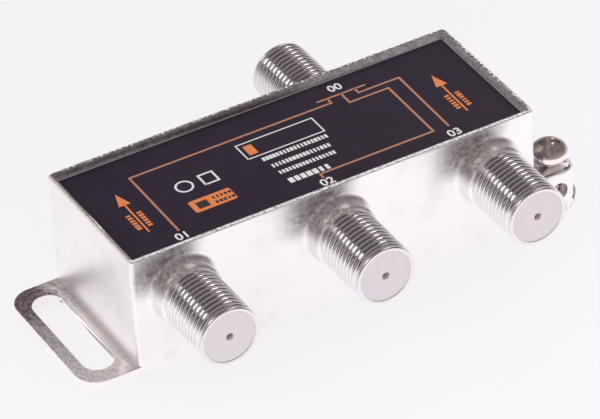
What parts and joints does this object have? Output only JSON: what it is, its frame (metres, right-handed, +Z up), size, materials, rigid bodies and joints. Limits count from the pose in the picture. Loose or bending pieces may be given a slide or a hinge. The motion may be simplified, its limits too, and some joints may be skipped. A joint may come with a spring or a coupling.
{
  "type": "coaxial splitter",
  "caption": "Die cast coaxial splitter box with threaded ports on both long sides, slotted mounting lugs and an earth screw.",
  "frame": {"origin": "centre of the underside, which is also the bottom centre of the whole part's box", "axes": "+X along the housing towards the earth screw, +Y towards the input port, +Z up through the label"},
  "size_m": [0.0826, 0.052, 0.02],
  "materials": {
    "housing": "nickel plated die casting, satin to bright",
    "label": "printed film, nearly black",
    "cover": "tinned steel",
    "insulator": "white plastic",
    "contact": "tinned bronze",
    "screw": "bright nickel",
    "board": "green board",
    "ferrite": "dull dark grey",
    "copper": "enamelled copper wire",
    "capacitor": "tan ceramic",
    "resistor": "black film on ceramic",
    "diode": "black moulded case"
  },
  "bodies": {
    "casing": {"housing": "housing", "label": "label", "back_cover": "cover", "insulator_in": "insulator", "insulator_out_left": "insulator", "insulator_out_middle": "insulator", "insulator_out_right": "insulator", "contact_in": "contact", "contact_out_left": "contact", "contact_out_middle": "contact", "contact_out_right": "contact", "circuit_board": "board", "input_core": "ferrite", "first_core": "ferrite", "second_core": "ferrite", "choke_core_left": "ferrite", "choke_core_right": "ferrite", "input_winding": "copper", "first_winding": "copper", "second_winding": "copper", "choke_coil_left": "copper", "choke_coil_right": "copper", "capacitor_in": "capacitor", "capacitor_out_left": "capacitor", "capacitor_out_middle": "capacitor", "capacitor_out_right": "capacitor", "first_resistor": "resistor", "second_resistor": "resistor", "diode_left": "diode", "diode_right": "diode"},
    "screw": {"ground_screw": "screw"}
  },
  "joints": [
    {"name": "ground_screw_travel", "type": "slide", "parent": "casing", "child": "screw", "axis": [0, 0, 1], "range_m": [-0.0011, 0.003]}
  ]
}
